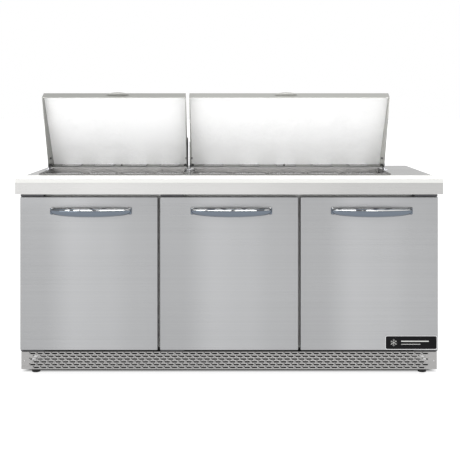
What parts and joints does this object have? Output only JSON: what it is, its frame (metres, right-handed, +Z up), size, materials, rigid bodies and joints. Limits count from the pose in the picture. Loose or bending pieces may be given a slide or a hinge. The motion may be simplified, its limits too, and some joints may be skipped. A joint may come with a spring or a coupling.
{
  "type": "sandwich prep table",
  "caption": "Refrigerated sandwich prep table with three hinged doors, two hinged hoods over wells of food pans, and a full-width cutting board.",
  "frame": {"origin": "on the floor under the middle of the table's overall box", "axes": "+Z up, -Y towards the person working at the table, +X to that person's right"},
  "size_m": [1.8288, 0.9, 1.239],
  "materials": {
    "brushed_steel": "satin",
    "top_steel": "satin",
    "polished_steel": "polished",
    "chrome": "polished",
    "galvanised": "satin",
    "aluminium": "satin",
    "copper": "satin",
    "board": "satin",
    "liner": "satin",
    "gasket": "matte",
    "black_rubber": "matte",
    "black_plastic": "satin",
    "black_paint": "satin",
    "shelf_coating": "satin"
  },
  "bodies": {
    "cabinet": {"base_frame": "galvanised", "kick_grille": "brushed_steel", "outer_case": "brushed_steel", "inner_liner": "liner", "front_frame": "brushed_steel", "worktop": "top_steel", "rear_cover": "galvanised", "power_inlet": "black_plastic", "pan_well": "top_steel", "lid_hinge_left": "galvanised", "lid_hinge_centre": "galvanised", "lid_hinge_right": "galvanised", "evaporator_housing": "aluminium", "evaporator_coil": "aluminium", "condenser_shroud": "black_paint", "condenser_coil": "aluminium", "compressor": "black_paint", "refrigerant_line": "copper", "temperature_controller": "black_plastic", "foot_front_left": "black_rubber", "foot_front_right": "black_rubber", "foot_rear_left": "black_rubber", "foot_rear_right": "black_rubber", "pan_bar_left": "top_steel", "pans_left_rear": "polished_steel", "pan_bar_right": "top_steel", "pans_right_rear": "polished_steel", "hinge_left_bottom": "galvanised", "hinge_left_top": "galvanised", "shelf_left": "shelf_coating", "hinge_middle_bottom": "galvanised", "hinge_middle_top": "galvanised", "shelf_middle": "shelf_coating", "hinge_right_bottom": "galvanised", "hinge_right_top": "galvanised", "shelf_right": "shelf_coating"},
    "door_left": {"door_left_skin": "brushed_steel", "door_left_liner": "liner", "door_left_gasket": "gasket", "door_left_handle": "chrome"},
    "door_middle": {"door_middle_skin": "brushed_steel", "door_middle_liner": "liner", "door_middle_gasket": "gasket", "door_middle_handle": "chrome"},
    "door_right": {"door_right_skin": "brushed_steel", "door_right_liner": "liner", "door_right_gasket": "gasket", "door_right_handle": "chrome", "badge": "black_plastic"},
    "lid_left": {"lid_left_shell": "brushed_steel", "lid_left_liner": "polished_steel", "lid_left_pull": "chrome"},
    "lid_right": {"lid_right_shell": "brushed_steel", "lid_right_liner": "polished_steel", "lid_right_pull": "chrome"},
    "evaporator_fan": {"evaporator_fan": "black_plastic"},
    "condenser_fan": {"condenser_fan": "black_plastic"},
    "cutting_board": {"cutting_board": "board"},
    "pans_left_front": {"pans_left_front": "polished_steel"},
    "pans_right_front": {"pans_right_front": "polished_steel"}
  },
  "joints": [
    {"name": "door_left_hinge", "type": "hinge", "parent": "cabinet", "child": "door_left", "pos_m": [-0.896, -0.365, 0.448], "axis": [0, 0, -1], "range_deg": [0, 105]},
    {"name": "door_middle_hinge", "type": "hinge", "parent": "cabinet", "child": "door_middle", "pos_m": [-0.2885, -0.365, 0.448], "axis": [0, 0, -1], "range_deg": [0, 105]},
    {"name": "door_right_hinge", "type": "hinge", "parent": "cabinet", "child": "door_right", "pos_m": [0.896, -0.365, 0.448], "axis": [0, 0, 1], "range_deg": [0, 105]},
    {"name": "lid_left_hinge", "type": "hinge", "parent": "cabinet", "child": "lid_left", "pos_m": [-0.5335, 0.1355, 0.9195], "axis": [-1, 0, 0], "range_deg": [-63, 0]},
    {"name": "lid_right_hinge", "type": "hinge", "parent": "cabinet", "child": "lid_right", "pos_m": [0.2765, 0.1355, 0.9195], "axis": [-1, 0, 0], "range_deg": [-63, 0]},
    {"name": "evaporator_fan_spin", "type": "hinge", "parent": "cabinet", "child": "evaporator_fan", "pos_m": [0, 0.2276, 0.672], "axis": [0, -1, 0], "continuous": true},
    {"name": "condenser_fan_spin", "type": "hinge", "parent": "cabinet", "child": "condenser_fan", "pos_m": [-0.3146, 0.32, 0.2025], "axis": [1, 0, 0], "continuous": true},
    {"name": "cutting_board_lift", "type": "slide", "parent": "cabinet", "child": "cutting_board", "axis": [0, 0, 1], "range_m": [0, 0.06]},
    {"name": "pans_left_front_lift", "type": "slide", "parent": "cabinet", "child": "pans_left_front", "axis": [0, 0, 1], "range_m": [0, 0.12]},
    {"name": "pans_right_front_lift", "type": "slide", "parent": "cabinet", "child": "pans_right_front", "axis": [0, 0, 1], "range_m": [0, 0.12]}
  ]
}
